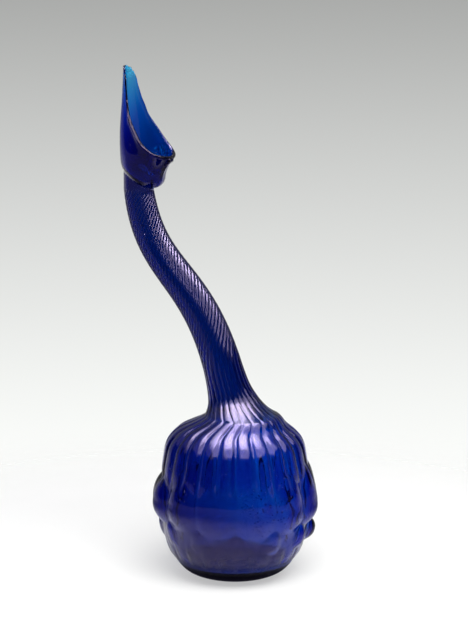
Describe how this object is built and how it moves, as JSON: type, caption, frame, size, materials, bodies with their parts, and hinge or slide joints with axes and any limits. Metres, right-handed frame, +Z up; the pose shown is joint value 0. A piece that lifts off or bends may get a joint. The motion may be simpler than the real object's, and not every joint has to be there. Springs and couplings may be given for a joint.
{
  "type": "swan-neck sprinkler bottle",
  "caption": "Blown cobalt glass sprinkler bottle: bossed and ribbed globe, long twisted S-curved neck and a pouched mouth with a tall leaf-shaped spout.",
  "frame": {"origin": "in the plane that the resting ring stands on, under the middle of the whole bottle's box; the globe's axis is 17.9 mm from it towards +X and 0.8 mm towards -Y", "axes": "+Z up, +X the way the mouth faces, and the whole bend of the neck lies in a plane of X and Z; right-handed"},
  "size_m": [0.1552, 0.1204, 0.3697],
  "materials": {
    "cobalt_glass": "clear cobalt-blue blown glass, fire-polished, darker where it is thick",
    "scar_glass": "rough broken cobalt glass left by the pontil iron"
  },
  "bodies": {
    "root": {"base": "cobalt_glass", "pontil_scar": "scar_glass", "globe": "cobalt_glass", "neck_lower": "cobalt_glass", "neck_upper": "cobalt_glass", "mouth": "cobalt_glass"}
  },
  "joints": []
}
